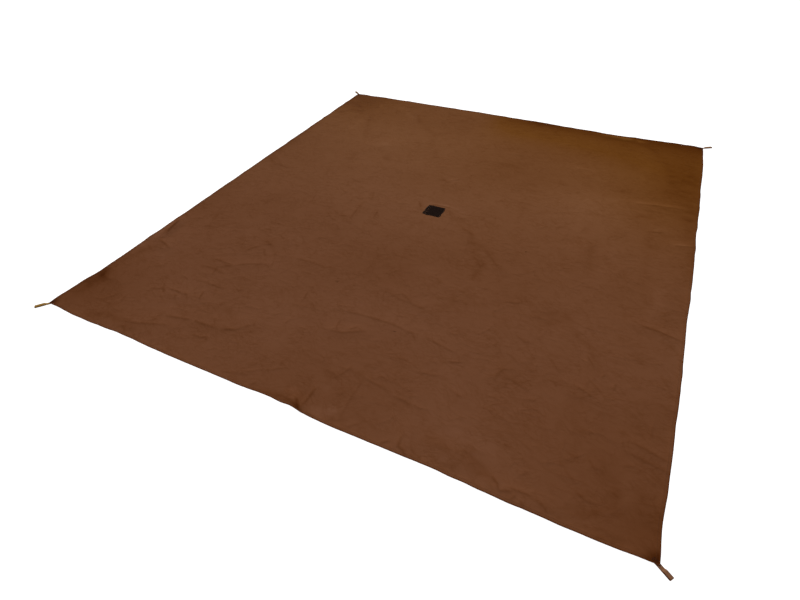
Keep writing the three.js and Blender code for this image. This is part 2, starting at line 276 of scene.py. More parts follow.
CREASES = (
    # left edge pucker and its tail
    (8, 14, -1352, -690, -1338, -745, -1325, -800, -1314, -845),
    (4, 12, -1325, -898, -1250, -918, -1180, -945),
    (3, 12, -1385, -615, -1355, -640, -1330, -665),
    (-4, 26, -1372, -1200, -1352, -1250, -1330, -1285),
    (2.5, 14, -1330, -1262, -1290, -1275, -1240, -1272),
    (1.8, 16, -1355, 235, -1300, 200, -1240, 150),
    (1.8, 16, -1365, 200, -1300, 150, -1232, 100),
    (3, 14, -1388, 527, -1350, 524),
    (-2.5, 14, -1388, 430, -1356, 432),
    (2, 12, -1388, -500, -1365, -560),
    (2, 12, -1330, -965, -1290, -985),
    # near edge, left to right
    (3.5, 12, -935, -1482, -905, -1495, -886, -1518),
    (3, 11, 90, -1395, 88, -1450, 93, -1522),
    (2, 11, 240, -1300, 243, -1400, 252, -1492),
    (4, 10, 500, -1446, 506, -1496, 552, -1520),
    (2.5, 10, 470, -1486, 440, -1515),
    (-3, 26, 690, -1405, 790, -1440, 880, -1485),
    (5, 9, 846, -1458, 872, -1478, 888, -1502),
    (4, 9, 885, -1502, 906, -1490, 932, -1484),
    (3.5, 10, 900, -1477, 950, -1474, 1003, -1471),
    (3, 9, 942, -1486, 936, -1502, 928, -1518),
    (3, 9, 958, -1498, 978, -1526),
    (3, 10, 1000, -1474, 1030, -1488, 1052, -1502),
    (2, 30, 560, -1440, 700, -1438),
    (2.2, 10, -250, -1475, -205, -1470),
    (2.2, 10, -165, -1515, -150, -1480),
    (2, 10, 300, -1500, 330, -1470),
    # near left quarter
    (3, 13, -962, -1462, -870, -1442, -800, -1415, -720, -1388),
    (3.5, 13, -802, -1352, -720, -1335, -650, -1322),
    (3, 12, -650, -1322, -575, -1320, -500, -1314),
    (2, 13, -500, -1314, -430, -1285, -370, -1210),
    (2, 11, -512, -1272, -496, -1292, -470, -1300, -430, -1290, -400, -1262),
    (3.5, 10, -592, -1390, -545, -1388, -522, -1374, -498, -1394),
    (4, 10, -932, -1200, -880, -1196, -830, -1203),
    (3.5, 10, -845, -1188, -815, -1197, -788, -1226),
    (3, 9, -866, -1212, -855, -1238, -835, -1250),
    (5, 8, -757, -1138, -747, -1165, -736, -1198),
    (2, 9, -614, -1150, -606, -1190),
    (2.5, 14, -872, -1085, -760, -1082, -650, -1086),
    (2.5, 13, -925, -982, -850, -976, -750, -990),
    (3, 10, -830, -948, -820, -990, -809, -1026),
    (3.5, 13, -882, -908, -820, -913, -758, -915),
    (3, 15, -758, -915, -700, -875, -600, -830),
    (2.5, 12, -760, -917, -795, -935, -822, -958),
    (3.5, 14, -742, -655, -705, -675, -680, -690),
    (3, 12, -705, -718, -680, -752, -645, -785),
    (2.5, 14, -732, -700, -770, -745, -792, -802),
    (3, 10, -722, -568, -690, -585, -648, -608),
    (2.5, 10, -605, -518, -565, -550, -528, -594),
    (2, 10, -1035, -458, -1000, -480, -958, -502),
    (2.5, 9, -1248, -1316, -1232, -1345, -1218, -1370),
    (2, 10, -1092, -1310, -1080, -1370),
    (4, 8, -282, -916, -274, -950, -264, -988),
    (2.5, 9, -224, -976, -200, -1000, -174, -1022),
    (2.2, 16, -542, -728, -400, -720, -248, -727),
    (2, 12, -1005, -1160, -975, -1190, -965, -1215),
    (1.8, 14, -1170, -1088, -1100, -1084),
    (2, 10, -940, -840, -900, -800),
    (2, 10, -680, -1190, -645, -1228),
    (2, 12, -575, -1265, -548, -1290),
    # near right quarter
    (3.2, 13, -42, -1108, 20, -1100, 70, -1072, 118, -1042),
    (3, 10, -30, -1020, -20, -1080, 0, -1096),
    (2.5, 10, 40, -1068, 75, -1030),
    (2, 13, 62, -765, 160, -785, 250, -798, 362, -812),
    (2.5, 12, 150, -745, 225, -790),
    (3, 12, -52, -970, 80, -958, 215, -956, 330, -975),
    (3, 11, 380, -968, 460, -985, 532, -1000),
    (4, 10, 520, -1052, 550, -1046, 578, -1034),
    (3, 11, 750, -1030, 810, -1045, 868, -1064),
    (2.5, 10, 722, -1062, 730, -1020, 742, -996, 785, -978),
    (2.5, 10, 850, -1112, 878, -1104, 905, -1094),
    (2.5, 12, 570, -1184, 610, -1196, 645, -1212),
    (2.5, 12, 420, -1160, 480, -1152, 525, -1136),
    (2.8, 10, 85, -1312, 120, -1316, 140, -1337),
    (2.5, 10, 128, -1332, 152, -1290, 166, -1248),
    (2.5, 11, 230, -1280, 300, -1290, 385, -1300),
    (2, 12, 385, -1310, 500, -1322),
    (2.2, 10, 895, -1292, 955, -1324),
    (2.2, 10, 1065, -1336, 1115, -1374),
    (2.5, 10, 1112, -1398, 1170, -1418),
    (2.5, 10, 1128, -1258, 1165, -1302),
    (3.5, 9, 1018, -958, 1060, -972, 1092, -988),
    (2.5, 9, 1060, -898, 1100, -930, 1142, -972),
    (4, 8, 1030, -768, 1052, -800, 1076, -832),
    (2.5, 9, 888, -848, 925, -888, 962, -932),
    (3, 10, 738, -792, 760, -802, 784, -816),
    (2.5, 10, 718, -898, 755, -918, 792, -944),
    (2.5, 8, 1078, -880, 1092, -902),
    (2.5, 8, 1110, -874, 1122, -850),
    (2.5, 8, 1148, -905, 1172, -918),
    (2.5, 8, 1168, -880, 1164, -912),
    (2, 10, 1308, -752, 1338, -800, 1362, -852),
    (3, 10, 618, -596, 655, -586, 692, -573),
    (1.8, 16, 380, -655, 400, -690, 440, -662),
    (-2, 44, 815, -585, 855, -620, 895, -635),
    (-2, 20, 420, -425, 428, -500),
    (2.2, 12, 250, -560, 300, -600),
    (2, 12, 590, -690, 620, -720),
    (3, 11, 1250, -1130, 1320, -1146, 1392, -1168),
    (2.5, 11, 1230, -1175, 1390, -1205),
    (3.5, 11, 1190, -492, 1290, -508, 1392, -532),
    (2.5, 10, 1340, -282, 1392, -330),
    (3, 9, 1366, -636, 1392, -652),
    (2.2, 12, 1240, -1240, 1290, -1225),
    # middle
    (3.5, 10, -142, 84, -118, 50, -96, 8),
    (2.5, 10, -96, 8, -82, -10, -64, -22),
    (3, 9, 66, 62, 84, 30, 106, -8),
    (2.5, 9, 130, 14, 165, -4, 185, 10, 228, -14),
    (2.5, 12, 200, -90, 255, -115, 312, -152),
    (2.2, 12, 270, -170, 290, -200, 302, -232),
    (2.6, 14, 390, -220, 440, -285, 490, -340, 532, -382),
    (2.2, 13, 350, -308, 395, -350, 432, -402),
    (2.5, 13, -448, 72, -425, 10, -404, -52),
    (2.5, 13, -450, -50, -440, -150, -424, -272),
    (3, 9, -322, -108, -312, -150, -304, -196),
    (2, 10, -772, -108, -748, -192),
    (3, 9, -560, -232, -520, -248),
    (3, 9, -500, -262, -450, -250),
    (3, 9, -545, -300, -490, -322),
    (3, 9, -470, -350, -430, -398),
    (2.5, 9, -420, -300, -388, -318),
    (-0.8, 34, 910, 82, 918, -60, 922, -232),
    (2, 12, 842, 204, 830, 128),
    (4, 16, 1060, 568, 1190, 592, 1322, 612),
    (2, 18, 1100, 520, 1262, 531),
    (-1.5, 22, 1058, 428, 1202, 452),
    (-2, 14, 1318, 500, 1362, 498),
    (3, 12, 1148, 288, 1252, 322),
    (3.5, 11, 1288, 208, 1392, 236),
    (-1.2, 28, 1155, 170, 1262, 105),
    (4, 16, -62, 385, -30, 410, 2, 432),
    (-3, 14, -108, 378, -82, 384),
    (2.5, 10, -62, 272, -20, 218),
    # just beyond the patch's far side
    (4, 9, -58, 77, 10, 80, 78, 85),
    # far half
    (3, 16, -1312, 1384, -1200, 1388),
    (3, 16, -1352, 1148, -1230, 1158, -1110, 1152),
    (2.5, 14, -1260, 1285, -1180, 1295),
    (2.5, 14, -1125, 1318, -1055, 1324),
    (-1.5, 34, -1062, 1152, -980, 940, -890, 738),
    (1.5, 20, -932, 1352, -900, 1290, -860, 1228),
    (1.5, 22, -732, 1332, -680, 1260, -628, 1178),
    (2, 14, 690, 1494, 810, 1497, 942, 1494),
    (2.5, 18, 358, 1346, 432, 1354),
    (2.5, 18, 488, 1212, 562, 1220),
    (2.5, 20, 158, 914, 332, 926),
    (2.5, 20, 640, 876, 762, 886),
    (2.5, 20, 700, 770, 802, 782),
)

# Crumpling of the whole cloth: facet size and rise in mm, and each layer's seed.

CRUMPLES = (
    (130, 0.55, 11),
    (60, 0.32, 23),
    (30, 0.25, 37),
    (15, 0.14, 53),
)
CRUMPLE_STRETCH = 2.0
CRUMPLE_BOW = 0.09
CRUMPLE_WARP = 0.55

# Small chance creases: how many, the range of their length, rise and half width in mm, and how much
# painted shade darkens their lines.

CHANCE = {
    "count": 2400,
    "length": (25, 130),
    "rise": (0.25, 1.0),
    "half": (2.5, 5),
    "shade": (0.0, 0.045),
    "seed": 71,
}

# Horizontal direction towards the window side, which decides which flank of a crease is steep.

LIGHT_SIDE = np.array((-0.6, 0.8))

# Soft bands of painted light (plus) and painted shade (minus) on the folds, creases and edges: strength,
# half width, then x and y of each point. The second table's bands are the fainter ones inside the sheet.

PAINTED_LIGHT_GAIN = 1.5
PAINTED_LIGHT_BANDS = (
    # edges
    (-0.10, 12, -150, -1522, -60, -1512, 20, -1508),
    # Near pleat: painted shadow in its fold.
    (-0.20, 10, -20, -1500, 49, -1512, 97, -1524),
    (-0.16, 6, 52, -1492, 74, -1508, 90, -1524),
    (-0.10, 5, -10, -1478, 50, -1486, 86, -1508),
    (-0.05, 5, 88, -1420, 90, -1462, 88, -1506),
    (-0.06, 14, 40, -1440, 70, -1480),
    # Painted light beside the near pleat.
    (0.05, 20, 110, -1485, 190, -1505),
    # Painted highlight along the fold of the far hem.
    (0.30, 17, 735, 1478, 828, 1476, 912, 1474, 1010, 1470),
    (-0.08, 50, 170, 1500, 260, 1490, 380, 1500),
    (-0.05, 30, 980, 1440, 1060, 1400, 1100, 1330),
    (-0.09, 100, 1310, 1180, 1315, 640),
    (-0.08, 40, 1372, 700, 1350, 480, 1375, 330),
    (-0.07, 26, 1382, 300, 1380, -100),
    (-0.09, 60, -1390, 820, -1390, 160),
    (-0.03, 80, -1330, -150, -1330, -640),
    (-0.03, 90, 1390, -900, 1250, -1100),
    # near left
    # Painted light on the raised flap at the left edge.
    (0.12, 22, -1380, -780, -1364, -860, -1372, -930),
    (-0.11, 46, -1378, -1170, -1358, -1270, -1340, -1370),
    # near right
    (0.08, 22, 160, -1490, 230, -1440),
    # middle
    (-0.04, 24, 265, -130, 330, -200, 400, -240, 460, -300),
    (-0.04, 20, 290, -165, 350, -270, 430, -370, 425, -500),
    (-0.10, 14, -130, 382, -70, 376),
    (0.12, 16, -55, 395, -10, 415),
    (0.10, 10, -70, 84, 90, 92),
    # far
    (-0.03, 30, -1160, 1320, -1060, 1150, -980, 940, -890, 740),
    (-0.04, 26, -740, 1320, -640, 1180, -420, 1000, -380, 700),
    (0.05, 30, -940, 1390, -800, 1310, -690, 1180),
    (-0.02, 26, -920, 1360, -870, 1250),
    (0.12, 14, -1360, 1375, -1240, 1390),
    (0.09, 16, -1330, 1150, -1180, 1145),
    (0.06, 12, -1120, 1440, -1060, 1320),
    (-0.05, 30, -1370, 1290, -1290, 1310, -1200, 1240),
    (-0.08, 22, -1350, 1080, -1250, 1200, -1130, 1180),
    (0.05, 60, -760, 720, -640, 690),
    (0.04, 30, -1100, 1020, -1080, 860),
    (-0.05, 34, -300, 740, -270, 600),
    (-0.05, 30, -620, 560, -560, 480),
    (-0.05, 20, -350, 1320, -330, 1300),
    (0.05, 20, -200, 1400, -100, 1380),
    (0.05, 22, 350, 1342, 430, 1336),
    (-0.05, 22, 260, 1335, 350, 1305),
    (0.05, 18, 480, 1216, 560, 1226),
    (0.06, 18, 160, 926, 325, 920),
    (0.06, 18, 640, 882, 760, 888),
    (0.05, 14, 720, 770, 880, 785),
    (-0.04, 34, 200, 760, 320, 730),
    (-0.03, 28, 1090, 1330, 1190, 1180, 1235, 900, 1240, 700),
    (0.04, 55, 1000, 1330, 1080, 1100, 1060, 820),
    (-0.06, 22, 940, 715, 1040, 670),
    (0.04, 40, 800, 500, 960, 570, 1040, 620),
    (0.08, 22, 1060, 580, 1180, 600, 1310, 622),
    (0.06, 10, 1080, 530, 1250, 536),
    (-0.05, 26, 1055, 425, 1200, 450),
    (0.05, 28, 1180, 330, 1270, 360),
    (-0.08, 16, 1318, 496, 1385, 520),
    (-0.05, 24, 1340, 440, 1360, 250),
    (-0.04, 30, 1155, 165, 1250, 140),
    (0.12, 7, 1285, 212, 1375, 236),
    (-0.06, 14, 200, 1490, 420, 1488),
)

FAINT_PAINTED_LIGHT_GAIN = 1.08
FAINT_PAINTED_LIGHT_BANDS = (
    # near left
    (0.07, 16, -1374, -930, -1368, -1010),
    (-0.08, 16, -1350, -1250, -1300, -1290, -1220, -1295),
    (-0.08, 28, -1350, -1120, -1322, -1032, -1280, -980),
    (-0.09, 22, -1160, -1492, -1040, -1452, -850, -1480),
    (-0.08, 28, -765, -645, -715, -668, -660, -690),
    (-0.05, 18, -935, -986, -785, -976),
    (0.04, 45, -490, -690, -380, -585),
    (0.05, 26, -640, -570, -560, -590),
    (-0.03, 24, -95, -420, -80, -860),
    (-0.05, 26, -1240, -1420, -1130, -1350),
    (0.04, 20, -1290, -1050, -1190, -1010, -1130, -1040),
    (-0.04, 20, -640, -1345, -480, -1330, -390, -1240),
    (-0.05, 14, -600, -1175, -540, -1200, -440, -1260),
    # near right
    (-0.05, 30, 380, -640, 400, -720, 370, -760),
    (-0.09, 30, 815, -590, 890, -560, 900, -630),
    (-0.06, 24, 750, -620, 830, -660, 960, -560),
    (-0.06, 26, 650, -430, 700, -500, 680, -560),
    (0.05, 30, 440, -560, 540, -590),
    (0.04, 34, 150, -510, 240, -560),
    (-0.05, 18, 960, -650, 1050, -740, 1110, -860),
    (-0.04, 26, 1030, -960, 1050, -1070, 1020, -1160),
    (-0.06, 20, 1150, -1240, 1230, -1330, 1240, -1400),
    (0.06, 24, 1270, -1210, 1280, -1390),
    (-0.07, 20, 1120, -1470, 1200, -1440),
    (0.06, 12, 130, -1400, 140, -1330),
    (-0.06, 16, 60, -1310, 150, -1350),
    (-0.06, 14, 560, -1400, 730, -1450, 860, -1490),
    (-0.05, 18, 830, -1280, 760, -1220, 900, -1290),
    (0.04, 40, 560, -1320, 900, -1390),
    (-0.04, 26, 700, -920, 740, -1010, 830, -1040),
    # middle
    (-0.05, 20, 195, -85, 250, -110, 300, -150),
    (0.05, 22, 330, -230, 420, -300),
    (-0.07, 16, 40, 60, 90, 30, 130, -10, 210, -20),
    (0.05, 18, 90, 85, 170, 60, 200, 20),
    (-0.06, 12, -455, 75, -425, -50),
    (-0.05, 8, -435, -60, -428, -290),
    (-0.07, 22, -560, -220, -470, -270, -410, -300),
    (-0.06, 24, -520, -380, -440, -400, -380, -470),
    (-0.05, 12, -340, -100, -305, -190, -260, -260),
    (-0.04, 26, 905, 90, 915, -60, 920, -230),
    (-0.05, 14, 800, 290, 860, 230, 850, 130),
    (0.04, 34, 1010, 180, 1030, -60, 990, -250),
    (-0.05, 22, 1170, 330, 1180, 60, 1200, -250),
    (0.07, 34, 1250, -180, 1270, -330, 1240, -440),
    (-0.05, 18, 560, 245, 640, 285, 760, 300),
    (-0.05, 36, 480, 330, 470, 200),
    (-0.06, 14, -90, 330, -40, 270),
    (-0.05, 24, -300, 420, -290, 370),
    (-0.07, 16, -120, 60, -85, -10),
    (-0.04, 40, -900, -150, -1000, -250),
    (-0.05, 12, -1220, -480, -1170, -600, -1130, -700),
    (-0.06, 12, -1120, -690, -1040, -600, -980, -560),
    (-0.05, 10, -960, -640, -880, -700, -800, -790),
    (-0.05, 18, -1378, 240, -1330, 180, -1270, 110),
    (-0.06, 10, -1260, 120, -1120, 130),
)

# Layers of fine wrinkles in the material: scale, sharpness, turn in degrees, scale of the patches in
# which they show (0 is everywhere), how much painted shade darkens them and how high in mm.

WRINKLES = (
    (14.0, 9.0, 0, 0, 0.03, 0.4),
    (32.0, 5.0, -4, 5.0, 0.065, 0.35),
    (26.0, 5.5, 52, 6.0, 0.055, 0.35),
    (44.0, 4.5, -28, 9.0, 0.07, 0.3),
    (52.0, 4.0, 22, 11.0, 0.07, 0.28),
    (85.0, 3.0, 6, 4.0, 0.05, 0.14),
)

# Tone of the cloth by place, partly painted sheen: strength, where minus is darker, reach in metres, and
# centre.

TONES = (
    (-0.12, 0.42, 1300, 1400),
    (-0.07, 0.50, 1350, 900),
    (0.06, 1.20, -100, 900),
    (-0.05, 0.45, 1150, -1250),
    (-0.22, 0.18, -1350, 1430),
    (-0.08, 0.16, -1130, 1500),
    (0.16, 0.24, 840, 430),
    (-0.10, 0.14, -1370, -1370),
    (-0.12, 0.13, 1375, -1440),
    (0.05, 0.30, -950, 900),
    (0.05, 0.30, -100, 950),
    (0.11, 0.55, -650, 720),
    (0.08, 0.45, -80, 80),
    (0.10, 0.50, 750, 350),
    (0.05, 0.35, 950, 950),
    (-0.05, 0.35, 0, -500),
    (-0.06, 0.25, -1200, -500),
    (-0.14, 0.45, -1390, -1400),
    (-0.13, 0.40, 1390, -1500),
    (-0.04, 0.40, 0, -1500),
)
HEM_SHADE = 0.05
HEM_SHADE_REACH = 0.03
CORNER_SHADE = 0.38
CLOUD_SHADE = 0.035
CLOUD_PITCH = 0.30
PATCHY_SHARE = 0.6
PATCHY_PITCH = 0.035

# Where the colour is a deeper brown: strength, reach in metres, and centre.

DEEPS = (
    (0.45, 0.60, 1390, 1300),
    (0.2, 0.45, 1390, 600),
    (0.3, 0.45, -1300, 1480),
)

# Share of the deeper brown that the far half takes on, and the darker brown along the far edge: where
# it starts and is full in mm, and how far in the tone and the colour reach.

FAR_DEEP = 0.54
FAR_BAND = (-260, 160)
FAR_BAND_TONE = -0.29
FAR_BAND_TONE_REACH = 0.12
FAR_BAND_DEEP_REACH = 0.30


def smooth(t):
    """Eased step from 0 to 1."""
    s = np.clip(t, 0.0, 1.0)
    return s * s * (3 - 2 * s)


def line_points(numbers):
    """Points of a line in metres, from a row of x and y in turn in millimetres."""
    return np.array(numbers, float).reshape(-1, 2) * MM


def bow_at(table, place):
    """Bow of an edge at a place along it, in metres, from a table in millimetres."""
    at, bow = np.array(table, float).T * MM
    k = np.clip(np.searchsorted(at, place) - 1, 0, len(at) - 2)
    share = smooth((place - at[k]) / (at[k + 1] - at[k]))
    return bow[k] + (bow[k + 1] - bow[k]) * share


def between(field, i, j, fu, fv):
    """Value of a field between four neighbouring points."""
    low = field[j, i] * (1 - fu) + field[j, i + 1] * fu
    high = field[j + 1, i] * (1 - fu) + field[j + 1, i + 1] * fu
    return low * (1 - fv) + high * fv


def wander(places, pitch, seed):
    """Smooth chance curve from -1 to 1 along a line, with a turn about every pitch."""
    heights = np.random.default_rng(seed).uniform(-1, 1, 4096)
    scaled = places / pitch + 900
    k = np.floor(scaled).astype(int)
    share = smooth(scaled - k)
    return heights[k] * (1 - share) + heights[k + 1] * share


def cloudy(x, y, pitch, seed):
    """Smooth chance field from -1 to 1 with blobs about pitch across."""
    heights = np.random.default_rng(seed).uniform(-1, 1, (700, 700))
    u = x / pitch + 350
    v = y / pitch + 350
    i = np.floor(u).astype(int)
    j = np.floor(v).astype(int)
    return between(heights, i, j, smooth(u - i), smooth(v - j))


def crumple(x, y, size, seed):
    """Flat facets with sharp edges, like cloth that was packed tight, from about -1 to 1."""
    bowed = y + CRUMPLE_BOW * x * x
    u = x / (size * CRUMPLE_STRETCH) + CRUMPLE_WARP * cloudy(x, y, size * 1.6, seed + 1)
    v = bowed / size + CRUMPLE_WARP * cloudy(x, y, size * 1.4, seed + 2)
    i = np.floor(u).astype(int)
    j = np.floor(v).astype(int)
    fu = u - i
    fv = v - j
    i += 400
    j += 400
    rng = np.random.default_rng(seed)
    heights = rng.uniform(-1, 1, (800, 800))
    turned = rng.random((800, 800)) < 0.5
    a = heights[j, i]
    b = heights[j, i + 1]
    c = heights[j + 1, i + 1]
    d = heights[j + 1, i]
    rising = np.where(fu > fv, a + fu * (b - a) + fv * (c - b), a + fv * (d - a) + fu * (c - d))
    near = a + fu * (b - a) + fv * (d - a)
    far = c + (1 - fu) * (d - c) + (1 - fv) * (b - c)
    falling = np.where(fu + fv < 1, near, far)
    return np.where(turned[j, i], rising, falling)


class Grid:
    """Height field of the flat cloth on uneven grid lines, with the painted shade of its creases."""

    def __init__(self, xs, ys):
        self.xs = xs
        self.ys = ys
        self.x, self.y = np.meshgrid(xs, ys)
        self.z = np.zeros_like(self.x)
        # Painted shade of the creases, taken off the cloth's brightness.
        self.shade = np.zeros_like(self.x)

    def window(self, points, reach):
        """Slices of the part of the grid within reach of a line's points."""
        low = points.min(0) - reach
        high = points.max(0) + reach
        i0, i1 = np.searchsorted(self.xs, (low[0], high[0]))
        j0, j1 = np.searchsorted(self.ys, (low[1], high[1]))
        return slice(j0, j1), slice(i0, i1)

    def sample(self, field, x, y):
        """A field of the grid at loose points, in between its lines."""
        i = np.clip(np.searchsorted(self.xs, x) - 1, 0, len(self.xs) - 2)
        j = np.clip(np.searchsorted(self.ys, y) - 1, 0, len(self.ys) - 2)
        fu = np.clip((x - self.xs[i]) / (self.xs[i + 1] - self.xs[i]), 0, 1)
        fv = np.clip((y - self.ys[j]) / (self.ys[j + 1] - self.ys[j]), 0, 1)
        return between(field, i, j, fu, fv)

    def top(self, x, y):
        return self.sample(self.z, x, y)


def line_distance(x, y, points):
    """Signed distance to a line of points, plus towards the light, and the share along it."""
    lengths = np.linalg.norm(np.diff(points, axis=0), axis=1)
    total = lengths.sum()
    gap = np.full(x.shape, np.inf)
    side = np.zeros_like(x)
    share = np.zeros_like(x)
    done = 0.0
    for start, end, length in zip(points[:-1], points[1:], lengths):
        along = (end - start) / length
        across = np.array((-along[1], along[0]))
        if across @ LIGHT_SIDE < 0:
            across = -across
        t = np.clip((x - start[0]) * along[0] + (y - start[1]) * along[1], 0, length)
        off = np.hypot(x - start[0] - t * along[0], y - start[1] - t * along[1])
        nearer = off < gap
        sign = np.sign((x - start[0]) * across[0] + (y - start[1]) * across[1])
        gap = np.where(nearer, off, gap)
        side = np.where(nearer, sign, side)
        share = np.where(nearer, (done + t) / total, share)
        done += length
    return gap * side, share


def middle_bulge(share):
    """1 in the middle of a line, easing to 0 at both ends."""
    return np.clip(1 - np.abs(2 * share - 1) ** 3, 0, 1)


def add_crease(grid, rise, half, points, shade):
    """Adds a crease to the grid, gentle towards the light and steep away from it, with a line of painted
    shade.
    """
    js, iis = grid.window(points, 4 * half)
    x = grid.x[js, iis]
    y = grid.y[js, iis]
    if x.size == 0:
        return
    offset, share = line_distance(x, y, points)
    flank = np.where(offset > 0, GENTLE_FLANK * half, STEEP_FLANK * half)
    shape = np.exp(-((np.abs(offset) / flank) ** CREST_POWER))
    ends = middle_bulge(share)
    grid.z[js, iis] += rise * shape * (0.25 + 0.75 * ends)
    # Painted shade: darkens the cloth's colour along the crease.
    grid.shade[js, iis] -= shade * ends * np.exp(-((offset / (0.9 * half)) ** 2))


def fold_rise(x, y):
    """Height of the raised folds, which lie where the solid's do."""
    rise = np.zeros_like(x)
    for height, reach, *line in FOLDS:
        offset, share = line_distance(x, y, line_points(line))
        away = np.clip(np.abs(offset) / (reach * MM), 0, 1)
        ends = 1 - 0.45 * np.abs(2 * share - 1) ** 3
        rise = np.maximum(rise, height * MM * ends * np.cos(away * math.pi / 2) ** 2)
    return rise


def near_corner(x, y, full, clear):
    """1 at the corners of the flat cloth, easing to 0 between the two distances."""
    away = np.hypot(WIDTH / 2 - np.abs(x), LENGTH / 2 - np.abs(y))
    return smooth((clear - away) / (clear - full))


def edge_distance(x, y):
    return np.minimum(WIDTH / 2 - np.abs(x), LENGTH / 2 - np.abs(y))


def patch_distance(x, y):
    """Distance outside the patch's outline, negative inside it."""
    across = np.abs(x - PATCH_MID.x) - PATCH_HALF.x
    along = np.abs(y - PATCH_MID.y) - PATCH_HALF.y
    return np.maximum(across, along)


def grid_lines(half):
    """Places of grid lines from edge to edge, closer together along the hem."""
    rim = np.array(HEM_LINES) * MM
    steps = int(round((2 * half - 2 * rim[-1]) / GRID_CELL))
    inner = np.linspace(-half + rim[-1], half - rim[-1], steps + 1)
    return np.concatenate([-half + rim[:-1], inner, (half - rim[:-1])[::-1]])


def chance_creases(grid):
    """Many small seeded creases that follow the lie of the crumpling."""
    rng = np.random.default_rng(CHANCE["seed"])
    margin = 30 * MM
    for _ in range(CHANCE["count"]):
        x = rng.uniform(-WIDTH / 2 + margin, WIDTH / 2 - margin)
        y = rng.uniform(-LENGTH / 2 + margin, LENGTH / 2 - margin)
        length = rng.uniform(*CHANCE["length"]) * MM
        rise = rng.uniform(*CHANCE["rise"]) * MM
        half = rng.uniform(*CHANCE["half"]) * MM
        shade = rng.uniform(*CHANCE["shade"])
        lie = math.atan(-2 * CRUMPLE_BOW * x)
        spread = 0.4 if rng.random() < 0.7 else 1.3
        angle = lie + rng.normal(0, spread)
        bend = rng.normal(0, 0.12) * length
        along = np.array((math.cos(angle), math.sin(angle)))
        across = np.array((-along[1], along[0]))
        middle = np.array((x, y))
        points = np.array([middle - along * length / 2, middle + across * bend, middle + along * length / 2])
        if patch_distance(x, y) < 0.04:
            continue
        add_crease(grid, rise, half, points, shade)


def cloth_heights():
    """The top and the underside of the cloth over the whole flat sheet."""
    grid = Grid(grid_lines(WIDTH / 2), grid_lines(LENGTH / 2))
    x = grid.x
    y = grid.y
    for size, rise, seed in CRUMPLES:
        grid.z += rise * MM * crumple(x, y, size * MM, seed)
    chance_creases(grid)
    for rise, half, *line in CREASES:
        height = CREASE_RISE * rise * MM
        add_crease(grid, height, CREASE_WIDTH * half * MM, line_points(line), CREASE_SHADE * abs(rise))
    calm = 0.2 + 0.8 * smooth(patch_distance(x, y) / PATCH_CALM_REACH)
    calm *= 1 - 0.8 * near_corner(x, y, *CALM_CORNER)
    grid.z *= calm
    away = edge_distance(x, y)
    along = np.where(WIDTH / 2 - np.abs(x) < LENGTH / 2 - np.abs(y), y, x)
    pucker = sum(wander(along, pitch * MM, seed) * rise * MM for pitch, rise, seed in PUCKERS)
    grid.z += pucker * smooth(1 - away / EDGE_WAVE_REACH)
    relief = grid.z + RESTING_LIFT
    settled = 0.5 * (relief + np.sqrt(relief * relief + RESTING_SOFTNESS * RESTING_SOFTNESS))
    lift = np.maximum(fold_rise(x, y), LOOP_LIFT * near_corner(x, y, *LIFTED_CORNER))
    hem = HEM_RISE * smooth((HEM_WIDTH + HEM_STEP / 2 - away) / HEM_STEP)
    hem -= HEM_SEAM_DIP * np.exp(-(((away - HEM_SEAM) / HEM_SEAM_HALF) ** 2))
    rounding = RIM_ROUNDING * smooth(1 - away / RIM_REACH)
    grid.z = GROUND_GAP + CLOTH + settled + lift + hem - rounding
    loose = smooth((away - LOOSE_START) / LOOSE_REACH)
    grid.under = grid.z - CLOTH - loose * (settled + hem)
    return grid


def placed(x, y):
    """Moves points of the flat cloth so that its edges follow their bows and small chance waves."""
    wave = EDGE_WAVE * (1 - near_corner(x, y, *STRAIGHT_CORNER))
    shifts = []
    for edge, seed, along, away in (
        (RIGHT_EDGE, 5, y, WIDTH / 2 - x),
        (LEFT_EDGE, 6, y, WIDTH / 2 + x),
        (FAR_EDGE, 7, x, LENGTH / 2 - y),
        (NEAR_EDGE, 8, x, LENGTH / 2 + y),
    ):
        bow = bow_at(edge, along) * smooth(1 - away / EDGE_EASE)
        waves = wave * wander(along, EDGE_WAVE_PITCH, seed) * smooth(1 - away / EDGE_WAVE_REACH)
        shifts.append(bow + waves)
    right, left, far, near = shifts
    return x + right - left, y + far - near


def new_mesh(name, points, faces, material):
    """Mesh object from arrays: points, and faces all with the same number of corners."""
    mesh = bpy.data.meshes.new(name)
    faces = np.asarray(faces, np.int32)
    corners = faces.shape[1]
    mesh.vertices.add(len(points))
    mesh.vertices.foreach_set("co", np.asarray(points, np.float32).ravel())
    mesh.loops.add(faces.size)
    mesh.loops.foreach_set("vertex_index", faces.ravel())
    mesh.polygons.add(len(faces))
    mesh.polygons.foreach_set("loop_start", np.arange(len(faces), dtype=np.int32) * corners)
    mesh.update(calc_edges=True)
    mesh.validate()
    mesh.polygons.foreach_set("use_smooth", np.full(len(faces), True))
    mesh.materials.append(material)
    obj = bpy.data.objects.new(name, mesh)
    bpy.context.scene.collection.objects.link(obj)
    return obj


def slab_faces(rows, columns):
    """Quads of a closed slab over a grid: top points first, then the points under them."""
    index = np.arange(rows * columns).reshape(rows, columns)
    under = rows * columns
    a = index[:-1, :-1].ravel()
    b = index[:-1, 1:].ravel()
    c = index[1:, 1:].ravel()
    d = index[1:, :-1].ravel()
    rim = np.concatenate([index[0], index[1:, -1], index[-1, -2::-1], index[-2:0:-1, 0]])
    after = np.roll(rim, -1)
    top = np.stack([a, b, c, d], 1)
    bottom = np.stack([a, d, c, b], 1) + under
    sides = np.stack([rim, rim + under, after + under, after], 1)
    return np.concatenate([top, bottom, sides])


def slab_points(x, y, top, under):
    """Points of a closed slab, in the order that its faces take them."""
    layers = [np.stack([x, y, z], -1).reshape(-1, 3) for z in (top, under)]
    return np.concatenate(layers)


